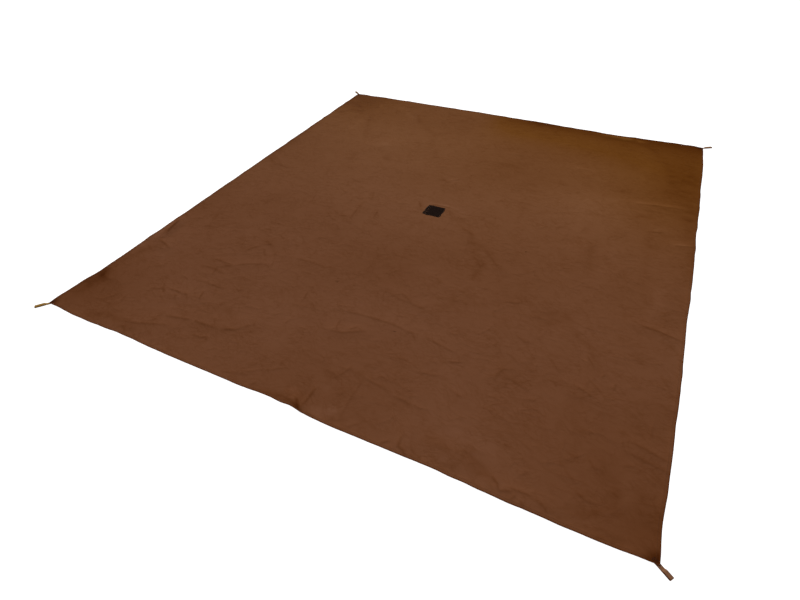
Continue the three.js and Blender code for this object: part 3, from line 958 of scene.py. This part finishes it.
def simplify(obj, triangles):
    """Collapses a dense mesh to about that many triangles, which gather along its creases."""
    count = sum(len(p.vertices) - 2 for p in obj.data.polygons)
    modifier = obj.modifiers.new("simplify", "DECIMATE")
    modifier.ratio = triangles / count
    graph = bpy.context.evaluated_depsgraph_get()
    mesh = bpy.data.meshes.new_from_object(obj.evaluated_get(graph))
    old = obj.data
    obj.modifiers.clear()
    obj.data = mesh
    bpy.data.meshes.remove(old)


def points_of(obj):
    points = np.zeros(len(obj.data.vertices) * 3, np.float32)
    obj.data.vertices.foreach_get("co", points)
    return points.reshape(-1, 3).astype(float)


def add_number(obj, name, values):
    """Stores one number a point, for the material to read."""
    attribute = obj.data.attributes.new(name, "FLOAT", "POINT")
    attribute.data.foreach_set("value", values.astype(np.float32))


def add_flat_map(obj, x, y):
    """Keeps each corner's place on the flat cloth, in metres, as a map for the material."""
    layer = obj.data.uv_layers.new(name="flat")
    corner = np.zeros(len(obj.data.loops), np.int32)
    obj.data.loops.foreach_get("vertex_index", corner)
    layer.data.foreach_set("uv", np.stack([x[corner], y[corner]], 1).astype(np.float32).ravel())


def blobs(grid, table):
    """Sum of round soft spots from a table of strength, reach and centre."""
    total = np.zeros_like(grid.x)
    for strength, reach, cx, cy in table:
        away = np.hypot(grid.x - cx * MM, grid.y - cy * MM) / reach
        total += strength * np.exp(-(away**2))
    return total


def painted_light_and_shade(grid):
    """Sum of the soft bands of painted light and painted shade."""
    total = np.zeros_like(grid.x)
    for gain, table in ((PAINTED_LIGHT_GAIN, PAINTED_LIGHT_BANDS), (FAINT_PAINTED_LIGHT_GAIN, FAINT_PAINTED_LIGHT_BANDS)):
        for strength, half, *line in table:
            points = line_points(line)
            js, iis = grid.window(points, 3 * half * MM)
            offset, share = line_distance(grid.x[js, iis], grid.y[js, iis], points)
            ends = 0.4 + 0.6 * middle_bulge(share)
            total[js, iis] += gain * strength * ends * np.exp(-((offset / (half * MM)) ** 2))
    return total


def far_band(x, y, reach):
    """Strength of the darker brown along the far edge."""
    start, full = FAR_BAND
    inward = (LENGTH / 2 - y) / reach
    return smooth((x / MM - start) / (full - start)) * np.exp(-(inward**2))


def cloth_deepness(grid):
    """How far the cloth's colour turns to the deeper brown."""
    deep = blobs(grid, DEEPS) + far_band(grid.x, grid.y, FAR_BAND_DEEP_REACH)
    deep += FAR_DEEP * smooth(0.5 + 0.4 * grid.y)
    return np.clip(deep, 0, 1)


def cloth_tone_and_shade(grid):
    """Brightness of the cloth's colour: random tone, darker edges and corners, painted light and shade."""
    x = grid.x
    y = grid.y
    patchy = 1 + PATCHY_SHARE * cloudy(x, y, PATCHY_PITCH, 203)
    # The bands and the crease lines add painted light and painted shade.
    tone = 1 + blobs(grid, TONES) + painted_light_and_shade(grid) * patchy + grid.shade
    tone += FAR_BAND_TONE * far_band(x, y, FAR_BAND_TONE_REACH)
    tone += CLOUD_SHADE * cloudy(x, y, CLOUD_PITCH, 201)
    tone -= HEM_SHADE * smooth(1 - edge_distance(x, y) / HEM_SHADE_REACH)
    tone -= CORNER_SHADE * near_corner(x, y, *DARK_CORNER)
    return tone


def make_sheet(material):
    grid = cloth_heights()
    points = slab_points(grid.x, grid.y, grid.z, grid.under)
    sheet = new_mesh("groundsheet_cloth", points, slab_faces(*grid.z.shape), material)
    simplify(sheet, SHEET_TRIANGLES)
    flat = points_of(sheet)
    x = flat[:, 0]
    y = flat[:, 1]
    add_flat_map(sheet, x, y)
    # The tone attribute holds random tone together with painted light and shade.
    add_number(sheet, "tone", grid.sample(cloth_tone_and_shade(grid), x, y))
    add_number(sheet, "deep", grid.sample(cloth_deepness(grid), x, y))
    px, py = placed(x, y)
    lying = np.stack([px, py, flat[:, 2]], 1)
    sheet.data.vertices.foreach_set("co", lying.astype(np.float32).ravel())
    sheet.data.update()
    return sheet, grid


# Patch, stitches and loops


def patch_height(grid, x, y):
    """Top of the patch: it lies on the sheet, with its folded-in border a little thicker."""
    inside = -patch_distance(x, y)
    top = grid.top(x, y) + PATCH_GAP + PATCH_THICK
    top += PATCH_BORDER_RISE * smooth((PATCH_BORDER - inside) / (1.6 * MM))
    for seam in PATCH_SEAMS:
        top -= PATCH_SEAM_DIP * np.exp(-(((inside - seam) / PATCH_SEAM_HALF) ** 2))
    quilted = QUILT_RISE * wander(x, QUILT_PITCH, 301) * wander(y, QUILT_PITCH, 302)
    top += quilted * smooth(1 - inside / 0.014) + 0.35 * MM * cloudy(x, y, 0.022, 303)
    return top - 0.3 * MM * smooth(1 - inside / (1.6 * MM))


def make_patch(grid, material):
    xs = np.linspace(PATCH_LOW.x, PATCH_HIGH.x, int(2 * PATCH_HALF.x / PATCH_CELL) + 1)
    ys = np.linspace(PATCH_LOW.y, PATCH_HIGH.y, int(2 * PATCH_HALF.y / PATCH_CELL) + 1)
    x, y = np.meshgrid(xs, ys)
    top = patch_height(grid, x, y)
    under = np.minimum(grid.top(x, y) + 0.08 * MM, top - 0.2 * MM)
    across = (x - PATCH_MID.x) / PATCH_HALF.x
    along = (y - PATCH_MID.y) / PATCH_HALF.y
    corner = smooth((np.abs(across * along) - 0.6) / 0.4)
    px = x - (PATCH_BITE * (1 + wander(y, BITE_PITCH, 311)) + PATCH_CORNER * corner) * across**9
    py = y - (PATCH_BITE * (1 + wander(x, BITE_PITCH, 312)) + PATCH_CORNER * corner) * along**9
    patch = new_mesh("patch_cloth", slab_points(px, py, top, under), slab_faces(*x.shape), material)
    add_flat_map(patch, np.tile(x.ravel(), 2), np.tile(y.ravel(), 2))
    return patch


def stitch_places(corners, closed, pitch=STITCH_PITCH):
    """Starts and directions of stitches along straight runs between corners."""
    ends = corners[1:] + (corners[:1] if closed else [])
    places = []
    for start, end in zip(corners, ends):
        run = np.linalg.norm(end - start)
        along = (end - start) / run
        count = max(1, int(run / pitch))
        for k in range(count):
            places.append((start + along * (k + 0.5) * run / count, along))
    return places


def box_seam(middle, x, y):
    """Stitches all round a box with its half sizes."""
    return stitch_places([middle + c for c in ((-x, -y), (x, -y), (x, y), (-x, y))], True)


def make_stitches(name, places, length, height, material, thread=THREAD):
    """Small plump threads, each pulled into the cloth at its ends, joined as one mesh."""
    rings = ((0.12, 0.75), (0.5, 1.0), (0.88, 0.75))
    sides = 5
    count = len(places)
    middles = np.array([p for p, _ in places])
    alongs = np.array([a for _, a in places])
    across = np.stack([-alongs[:, 1], alongs[:, 0]], 1)
    per = 2 + len(rings) * sides
    points = np.zeros((count, per, 3))

    def put(k, share, side, up):
        flat = middles + alongs * (share - 0.5) * length + across * side
        px, py = placed(flat[:, 0], flat[:, 1])
        points[:, k] = np.stack([px, py, height(flat[:, 0], flat[:, 1]) + up], 1)

    put(0, 0.0, 0.0, -0.5 * thread)
    put(1, 1.0, 0.0, -0.5 * thread)
    for r, (share, plump) in enumerate(rings):
        for k in range(sides):
            angle = 2 * math.pi * k / sides
            radius = thread * plump
            put(2 + r * sides + k, share, radius * math.cos(angle), 0.7 * radius * (0.3 + math.sin(angle)))
    faces = []
    for k in range(sides):
        after = (k + 1) % sides
        faces.append((0, 2 + after, 2 + k))
        last = 2 + (len(rings) - 1) * sides
        faces.append((1, last + k, last + after))
        for r in range(len(rings) - 1):
            low = 2 + r * sides
            high = low + sides
            faces.append((low + k, low + after, high + after))
            faces.append((low + k, high + after, high + k))
    faces = np.array(faces)
    every = (faces[None] + (np.arange(count) * per)[:, None, None]).reshape(-1, 3)
    return new_mesh(name, points.reshape(-1, 3), every, material)


def tack_places():
    """Rows of coarse uneven stitches, most of them along the patch's left side."""
    rng = np.random.default_rng(331)
    places = []
    for side, inset, pitch in PATCH_TACKS:
        upright = side in ("left", "right")
        run, width = (PATCH_HALF.y, PATCH_HALF.x) if upright else (PATCH_HALF.x, PATCH_HALF.y)
        for at in np.arange(-run + 0.008, run - 0.008, pitch * MM):
            at += rng.uniform(-0.25, 0.25) * pitch * MM
            off = width - (inset + rng.uniform(-1.5, 1.5)) * MM
            turn = rng.uniform(-0.7, 0.7)
            if side in ("left", "near"):
                off = -off
            if upright:
                turn += math.pi / 2
            middle = PATCH_CENTRE + ((off, at) if upright else (at, off))
            places.append((middle, np.array((math.cos(turn), math.sin(turn)))))
    return places


def corner_places():
    """Crossed box of dark stitches that holds each loop under its corner."""
    places = []
    near, far, half = CORNER_BOX
    for _, side, end, heading, _, _ in CORNER_LOOPS:
        corner = np.array((side * WIDTH / 2, end * LENGTH / 2))
        out = np.array((math.cos(math.radians(heading)), math.sin(math.radians(heading))))
        across = np.array((-out[1], out[0]))
        places_in = ((near, -half), (near, half), (far, half), (far, -half))
        box = [corner - out * u + across * v for u, v in places_in]
        places += stitch_places(box, True, CORNER_TACK_PITCH)
        for cross in (box[0::2], box[1::2]):
            places += stitch_places(cross, False, CORNER_TACK_PITCH)
    return places


def sheet_corner(side, end):
    """Where a corner of the sheet lies, without the small chance waves of its edges."""
    x = side * WIDTH / 2
    y = end * LENGTH / 2
    out_x = bow_at(RIGHT_EDGE if side > 0 else LEFT_EDGE, y)
    out_y = bow_at(FAR_EDGE if end > 0 else NEAR_EDGE, x)
    return x + side * out_x, y + end * out_y


def loop_path(reach):
    """Middle line of the webbing, seen from the side, from its lower end round the tip to its upper."""
    web = WEB_THICK
    top = LOOP_EYE + 2 * web
    tip = reach - LOOP_TIP
    step = WEB_RIB / 4
    points = [(u, web / 2) for u in np.arange(-LOOP_ROOT, tip, step)]
    for angle in np.linspace(-math.pi / 2, math.pi / 2, 25):
        u = tip + (LOOP_TIP - web / 2) * math.cos(angle)
        points.append((u, top / 2 + (top - web) / 2 * math.sin(angle)))
    points += [(u, top - web / 2) for u in np.arange(tip - step, LOOP_EYE_START, -step)]
    a = np.array((LOOP_EYE_START, top - web / 2))
    b = a - (LOOP_BEND, 0)
    d = np.array((LOOP_NECK, 1.5 * web))
    c = d + (LOOP_BEND, 0)
    for t in np.linspace(0, 1, 40):
        point = a * (1 - t) ** 3 + 3 * b * t * (1 - t) ** 2 + 3 * c * t**2 * (1 - t) + d * t**3
        points.append(tuple(point))
    points += [(u, 1.5 * web) for u in np.arange(LOOP_NECK - step, -LOOP_ROOT, -step)]
    return np.array(points)


def make_loop(name, side, end, heading, reach, material):
    """Ribbed webbing, one strip folded back on itself, whose two ends lie under the sheet's corner."""
    path = loop_path(reach * MM)
    tangent = np.gradient(path, axis=0)
    tangent /= np.linalg.norm(tangent, axis=1)[:, None]
    normal = np.stack([-tangent[:, 1], tangent[:, 0]], 1)
    run = np.concatenate([[0], np.cumsum(np.linalg.norm(np.diff(path, axis=0), axis=1))])
    rib = np.cos(2 * math.pi * run / WEB_RIB)
    sides = WEB_SIDES
    angles = 2 * math.pi * (np.arange(sides) + 0.5) / sides
    wide = np.sign(np.cos(angles)) * np.abs(np.cos(angles)) ** WEB_SQUARENESS
    thick = np.sign(np.sin(angles)) * np.abs(np.sin(angles)) ** WEB_SQUARENESS
    half_width = WEB_WIDTH / 2 - 0.15 * MM + 0.15 * MM * rib
    half_thick = WEB_THICK / 2 - 0.11 * MM + 0.06 * MM * rib
    v = half_width[:, None] * wide[None]
    w = half_thick[:, None] * thick[None]
    u = path[:, 0, None] + normal[:, 0, None] * w
    z = path[:, 1, None] + normal[:, 1, None] * w
    heading = math.radians(heading)
    corner_x, corner_y = sheet_corner(side, end)
    x = corner_x + u * math.cos(heading) - v * math.sin(heading)
    y = corner_y + u * math.sin(heading) + v * math.cos(heading)
    points = np.stack([x, y, z], -1)
    count = len(path)
    points = np.concatenate([points.reshape(-1, 3), [points[0].mean(0), points[-1].mean(0)]])
    faces = []
    for k in range(sides):
        after = (k + 1) % sides
        start = np.arange(count - 1) * sides
        faces.append(np.stack([start + k, start + sides + k, start + after], 1))
        faces.append(np.stack([start + after, start + sides + k, start + sides + after], 1))
        faces.append([(count * sides, k, after)])
        last = (count - 1) * sides
        faces.append([(count * sides + 1, last + after, last + k)])
    loop = new_mesh(name + "_webbing", points, np.concatenate(faces), material)
    along = np.concatenate([np.repeat(run, sides), [0, run[-1]]])
    across = np.concatenate([v.ravel(), [0, 0]])
    add_flat_map(loop, along, across)
    return loop


# Materials


def linear(r, g, b):
    """Colour of 0 to 255 as the screen shows it, as linear light."""
    parts = []
    for value in (r, g, b):
        c = value / 255
        parts.append(c / 12.92 if c <= 0.04045 else ((c + 0.055) / 1.055) ** 2.4)
    return (*parts, 1.0)


class Look:
    """A material with one Principled shader, and the nodes that feed it."""

    def __init__(self, name, **sockets):
        self.material = bpy.data.materials.new(name)
        self.material.use_nodes = True
        self.tree = self.material.node_tree
        self.shader(**sockets)

    def put(self, socket, value):
        """Links an input to a socket, or sets it to a constant."""
        if isinstance(value, bpy.types.NodeSocket):
            self.tree.links.new(value, socket)
        else:
            socket.default_value = value

    def shader(self, **sockets):
        """Feeds these inputs of the shader, and gives the material."""
        inputs = self.tree.nodes["Principled BSDF"].inputs
        for name, value in sockets.items():
            self.put(inputs[name.replace("_", " ")], value)
        return self.material

    def add(self, kind, values=None, output=0, **settings):
        """Adds a node, with settings, and values or links for its inputs, and gives one output."""
        made = self.tree.nodes.new("ShaderNode" + kind)
        for key, value in settings.items():
            setattr(made, key, value)
        for key, value in (values or {}).items():
            self.put(made.inputs[key], value)
        return made.outputs[output]

    def math(self, operation, *values, clamp=False):
        return self.add("Math", dict(enumerate(values)), operation=operation, use_clamp=clamp)

    def times(self, first, second):
        return self.math("MULTIPLY", first, second)

    def flat(self):
        """Place on the flat cloth, or along and across the webbing."""
        return self.add("UVMap", output="UV", uv_map="flat")

    def split(self, vector):
        """The first two parts of a vector."""
        return [self.add("SeparateXYZ", {0: vector}, part) for part in (0, 1)]

    def moved(self, vector, **settings):
        return self.add("Mapping", {"Vector": vector, **settings})

    def noise(self, vector, scale, detail, **more):
        return self.add("TexNoise", {"Vector": vector, "Scale": scale, "Detail": detail, **more}, "Fac")

    def ranged(self, value, low, high, to_low, to_high):
        inputs = {"Value": value, "From Min": low, "From Max": high, "To Min": to_low, "To Max": to_high}
        return self.add("MapRange", inputs)

    def spread(self, noise, to_low, to_high):
        """A noise's usual range, brought to another."""
        return self.ranged(noise, 0.3, 0.7, to_low, to_high)

    def bump(self, height, distance, strength, normal=None):
        inputs = {"Height": height, "Distance": distance, "Strength": strength}
        if normal is not None:
            inputs["Normal"] = normal
        return self.add("Bump", inputs)

    def mixed(self, factor, first, second):
        return self.add("Mix", {0: factor, 6: first, 7: second}, 2, data_type="RGBA")

    def scaled(self, colour, factor):
        return self.add("VectorMath", {0: colour, "Scale": factor}, operation="SCALE")

    def warm_shaded(self, colour, shade):
        """A colour times a brightness that takes green and blue down further than red."""
        green = self.math("POWER", shade, GREEN_POWER)
        blue = self.math("POWER", shade, BLUE_POWER)
        factors = self.add("CombineXYZ", {0: shade, 1: green, 2: blue})
        return self.add("VectorMath", {0: colour, 1: factors}, operation="MULTIPLY")

    def ridges(self, vector, scale, sharpness):
        """Thin wandering ridge lines from 0 to 1, as wrinkles run."""
        noise = self.noise(vector, scale, 1.0, Distortion=0.5)
        off = self.math("ABSOLUTE", self.math("SUBTRACT", noise, 0.5))
        near = self.math("SUBTRACT", 1.0, self.times(off, 4.0), clamp=True)
        return self.math("POWER", near, sharpness)

    def weave(self, vector, scale):
        """Plain weave: two sets of bands that cross."""
        warp = self.add("TexWave", {"Vector": vector, "Scale": scale}, "Fac", bands_direction="X")
        weft = self.add("TexWave", {"Vector": vector, "Scale": scale}, "Fac", bands_direction="Y")
        return self.times(warp, weft)


def cloth_material():
    look = Look("coated_cloth", Specular_IOR_Level=CLOTH_SHINE)
    flat = look.flat()
    # Tone: random tone with painted light and shade.
    tone = look.add("Attribute", output="Fac", attribute_name="tone")
    deep = look.add("Attribute", output="Fac", attribute_name="deep")
    x, y = look.split(flat)
    across = look.math("SUBTRACT", WIDTH / 2, look.math("ABSOLUTE", x))
    along = look.math("SUBTRACT", LENGTH / 2, look.math("ABSOLUTE", y))
    away = look.math("MINIMUM", across, along)
    painted_wrinkle_shade = 0.0
    relief = None
    for k, (scale, sharpness, turn, gate, dark, depth) in enumerate(WRINKLES):
        turned = look.moved(flat, Rotation=(0.0, 0.0, math.radians(turn)))
        stretched = look.moved(turned, Scale=(0.4, 1.0, 1.0))
        lines = look.math("SUBTRACT", look.ridges(stretched, scale, sharpness), 0.5 / sharpness)
        if gate:
            # Patches where the wrinkles show, in relief and in painted shade.
            wrinkle_patches = look.noise(look.moved(flat, Location=(3.1 * k, 7.3 * k, 0.0)), gate, 1.0)
            lines = look.times(lines, look.ranged(wrinkle_patches, 0.49, 0.57, 0.05, 1.0))
        # Painted shade along the wrinkles, taken off the cloth's colour.
        painted_wrinkle_shade = look.math("MULTIPLY_ADD", lines, dark, painted_wrinkle_shade)
        relief = look.bump(lines, depth * MM, 0.5, relief)
    mottle = look.noise(flat, 26.0, 5.0, Roughness=0.6)
    grain = look.noise(flat, 190.0, 2.0)
    shade = look.times(tone, look.spread(mottle, *MOTTLE_SHADE))
    shade = look.times(shade, look.spread(grain, *MOTTLE_SHADE))
    shade = look.times(shade, look.math("SUBTRACT", 1.0, painted_wrinkle_shade))
    colour = look.warm_shaded(look.mixed(deep, linear(*CLOTH_BROWN), linear(*CLOTH_DEEP_BROWN)), shade)
    rim = look.ranged(away, *RIM_COLOUR_REACH, 1.0, 0.0)
    colour = look.mixed(rim, colour, linear(*CLOTH_RIM))
    relief = look.bump(look.weave(flat, CLOTH_WEAVE), 0.06 * MM, 0.25, relief)
    gloss = look.ranged(mottle, 0.0, 1.0, 0.5, 0.68)
    return look.shader(Base_Color=colour, Normal=relief, Roughness=gloss)


def patch_material():
    look = Look("patch_cloth", Specular_IOR_Level=CLOTH_SHINE, Roughness=0.8)
    flat = look.flat()
    worn = look.spread(look.noise(flat, 120.0, 4.0), 0.0, 1.0)
    colour = look.mixed(worn, linear(*PATCH_DARK), linear(*PATCH_LIGHT))
    relief = look.bump(look.weave(flat, PATCH_WEAVE), 0.12 * MM, 0.5)
    relief = look.bump(look.ridges(flat, 60.0, 4.0), 0.3 * MM, 0.4, relief)
    return look.shader(Base_Color=colour, Normal=relief)


def thread_material(name, colour):
    look = Look(name, Specular_IOR_Level=0.15, Roughness=0.6)
    fibre = look.noise(look.add("TexCoord", output="Object"), 1400.0, 2.0)
    colour = look.scaled(linear(*colour)[:3], look.spread(fibre, 0.8, 1.2))
    return look.shader(Base_Color=colour, Normal=look.bump(fibre, 0.1 * MM, 0.4))


def webbing_material(name, face, edge):
    """Chevron-woven webbing with darker edges; along it run the ribs."""
    look = Look(name, Specular_IOR_Level=0.1, Roughness=0.7)
    flat = look.flat()
    along, across = look.split(flat)
    off = look.math("ABSOLUTE", across)
    slanted = look.math("ADD", along, look.times(off, 0.9))
    chevron = look.math("SINE", look.times(slanted, 2 * math.pi / WEB_RIB))
    fibre = look.noise(flat, 900.0, 3.0)
    worn = look.noise(flat, 70.0, 3.0)
    shade = look.math("ADD", 0.94, look.times(chevron, 0.10))
    shade = look.times(shade, look.spread(fibre, 0.88, 1.1))
    shade = look.times(shade, look.spread(worn, 0.9, 1.1))
    rim = look.ranged(off, 0.28 * WEB_WIDTH, 0.47 * WEB_WIDTH, 0.0, 1.0)
    colour = look.scaled(look.mixed(rim, linear(*face), linear(*edge)), shade)
    relief = look.bump(chevron, 0.12 * MM, 0.5)
    relief = look.bump(fibre, 0.08 * MM, 0.4, relief)
    return look.shader(Base_Color=colour, Normal=relief)


# Stage, light and camera


def place_floor():
    material = Look(
        "floor",
        Base_Color=(0.3, 0.3, 0.3, 1),
        Roughness=0.9,
        Specular_IOR_Level=0.0,
        Emission_Color=(1, 1, 1, 1),
        Emission_Strength=1.0,
    ).material
    half = FLOOR_HALF
    points = [(-half, -half, 0), (half, -half, 0), (half, half, 0), (-half, half, 0)]
    floor = new_mesh("floor", points, [(0, 1, 2, 3)], material)
    floor.location.z = -FLOOR_DROP


def light_scene():
    """Even pale surroundings and one broad soft light from the far left."""
    world = bpy.data.worlds.new("studio")
    world.use_nodes = True
    background = world.node_tree.nodes["Background"]
    background.inputs["Color"].default_value = (1, 1, 1, 1)
    background.inputs["Strength"].default_value = SKY_STRENGTH
    bpy.context.scene.world = world
    data = bpy.data.lights.new("window", "SUN")
    data.energy = SUN_ENERGY
    data.angle = math.radians(SUN_SPREAD)
    light = bpy.data.objects.new("window", data)
    light.rotation_mode = "QUATERNION"
    light.rotation_quaternion = Vector(SUN_DIRECTION).to_track_quat("-Z", "Y")
    bpy.context.scene.collection.objects.link(light)
    bpy.context.scene.view_settings.view_transform = "Standard"


def place_camera():
    """The camera stands at eye height off the near right part of the near edge."""
    data = bpy.data.cameras.new("camera")
    data.lens = CAMERA_LENS
    data.sensor_width = 36.0
    camera = bpy.data.objects.new("camera", data)
    right = Vector(CAMERA_RIGHT)
    up = Vector(CAMERA_UP)
    turn = Matrix((right, up, right.cross(up))).transposed().to_4x4()
    camera.matrix_world = Matrix.Translation(CAMERA_PLACE) @ turn
    bpy.context.scene.collection.objects.link(camera)
    bpy.context.scene.camera = camera


place_camera()
place_floor()
light_scene()

sheet, sheet_grid = make_sheet(cloth_material())
patch = make_patch(sheet_grid, patch_material())
patch_top = functools.partial(patch_height, sheet_grid)
hem_thread, patch_thread, coarse_thread, tack_thread = [thread_material(*row) for row in THREADS]

hem_places = box_seam(np.zeros(2), WIDTH / 2 - HEM_SEAM, LENGTH / 2 - HEM_SEAM)
seam_places = []
for seam in PATCH_SEAMS:
    seam_places += box_seam(PATCH_CENTRE, PATCH_HALF.x - seam, PATCH_HALF.y - seam)
hem_stitches = make_stitches("hem_stitches", hem_places, STITCH_LENGTH, sheet_grid.top, hem_thread)
patch_stitches = make_stitches("patch_stitches", seam_places, STITCH_LENGTH, patch_top, patch_thread)
patch_tacks = make_stitches(
    "patch_tacks", tack_places(), TACK_LENGTH, patch_top, coarse_thread, TACK_THREAD
)
corner_tacks = make_stitches(
    "corner_tacks", corner_places(), CORNER_TACK_LENGTH, sheet_grid.top, tack_thread, CORNER_THREAD
)

for name, side, end, heading, reach, colours in CORNER_LOOPS:
    loop = make_loop(name, side, end, heading, reach, webbing_material(name, *colours))
    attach(loop, "root")
    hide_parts(name)

for piece, slot in (
    (sheet, "coated_cloth"),
    (patch, "patch_cloth"),
    (hem_stitches, "coated_cloth"),
    (patch_stitches, "patch_cloth"),
    (patch_tacks, "coated_cloth"),
    (corner_tacks, "patch_cloth"),
):
    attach(piece, "root")
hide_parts("groundsheet")
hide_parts("centre_patch")
